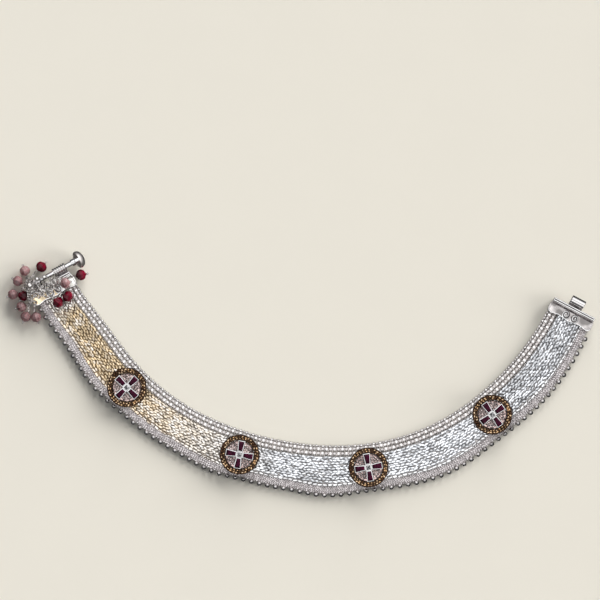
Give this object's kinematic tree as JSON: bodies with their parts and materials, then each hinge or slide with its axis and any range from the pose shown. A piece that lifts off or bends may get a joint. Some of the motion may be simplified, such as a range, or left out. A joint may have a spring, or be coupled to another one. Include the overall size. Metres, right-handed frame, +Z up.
{
  "type": "anklet",
  "caption": "Open flexible silver anklet: woven band with ball chains and a ball edge, round medallions set with ruby crosses, screw-pin clasp and a bead tassel.",
  "frame": {"origin": "middle of the bounding box's underside, on the surface that the anklet lies on", "axes": "+X along the longest side, from the screw pin's end to the end with the single knuckle; +Y towards the open side of the curve; +Z up"},
  "size_m": [0.2296, 0.0956, 0.008],
  "materials": {
    "bright_silver": "polished silver with dark gaps between the links",
    "dark_silver": "darkened silver mesh with bright balls",
    "antique_gold": "darkened antique gold",
    "ruby_glass": "polished deep red stone",
    "rose_glass": "polished milky rose bead",
    "clear_glass": "polished clear stone"
  },
  "bodies": {
    "root": {"centre_weave": "bright_silver", "chain_row_1": "bright_silver", "chain_row_2": "bright_silver", "chain_row_3": "bright_silver", "beaded_edge": "dark_silver", "medallion_1_ring": "antique_gold", "medallion_1_plate": "bright_silver", "clear_stone_1": "clear_glass", "ruby_1_1": "ruby_glass", "ruby_1_2": "ruby_glass", "ruby_1_3": "ruby_glass", "ruby_1_4": "ruby_glass", "medallion_2_ring": "antique_gold", "medallion_2_plate": "bright_silver", "clear_stone_2": "clear_glass", "ruby_2_1": "ruby_glass", "ruby_2_2": "ruby_glass", "ruby_2_3": "ruby_glass", "ruby_2_4": "ruby_glass", "medallion_3_ring": "antique_gold", "medallion_3_plate": "bright_silver", "clear_stone_3": "clear_glass", "ruby_3_1": "ruby_glass", "ruby_3_2": "ruby_glass", "ruby_3_3": "ruby_glass", "ruby_3_4": "ruby_glass", "medallion_4_ring": "antique_gold", "medallion_4_plate": "bright_silver", "clear_stone_4": "clear_glass", "ruby_4_1": "ruby_glass", "ruby_4_2": "ruby_glass", "ruby_4_3": "ruby_glass", "ruby_4_4": "ruby_glass", "end_cap_left": "bright_silver", "end_cap_right": "bright_silver", "tassel_chains": "bright_silver", "pink_bead_1": "rose_glass", "pink_bead_2": "rose_glass", "pink_bead_3": "rose_glass", "pink_bead_4": "rose_glass", "pink_bead_5": "rose_glass", "pink_bead_6": "rose_glass", "pink_bead_7": "rose_glass", "ruby_bead_1": "ruby_glass", "ruby_bead_2": "ruby_glass", "ruby_bead_3": "ruby_glass", "ruby_bead_4": "ruby_glass", "ruby_bead_5": "ruby_glass"},
    "pin": {"screw_pin": "bright_silver"}
  },
  "joints": [
    {"name": "pin_slide", "type": "slide", "parent": "root", "child": "pin", "axis": [0.8805, 0.4741, 0], "range_m": [-0.0027, 0.016]}
  ]
}
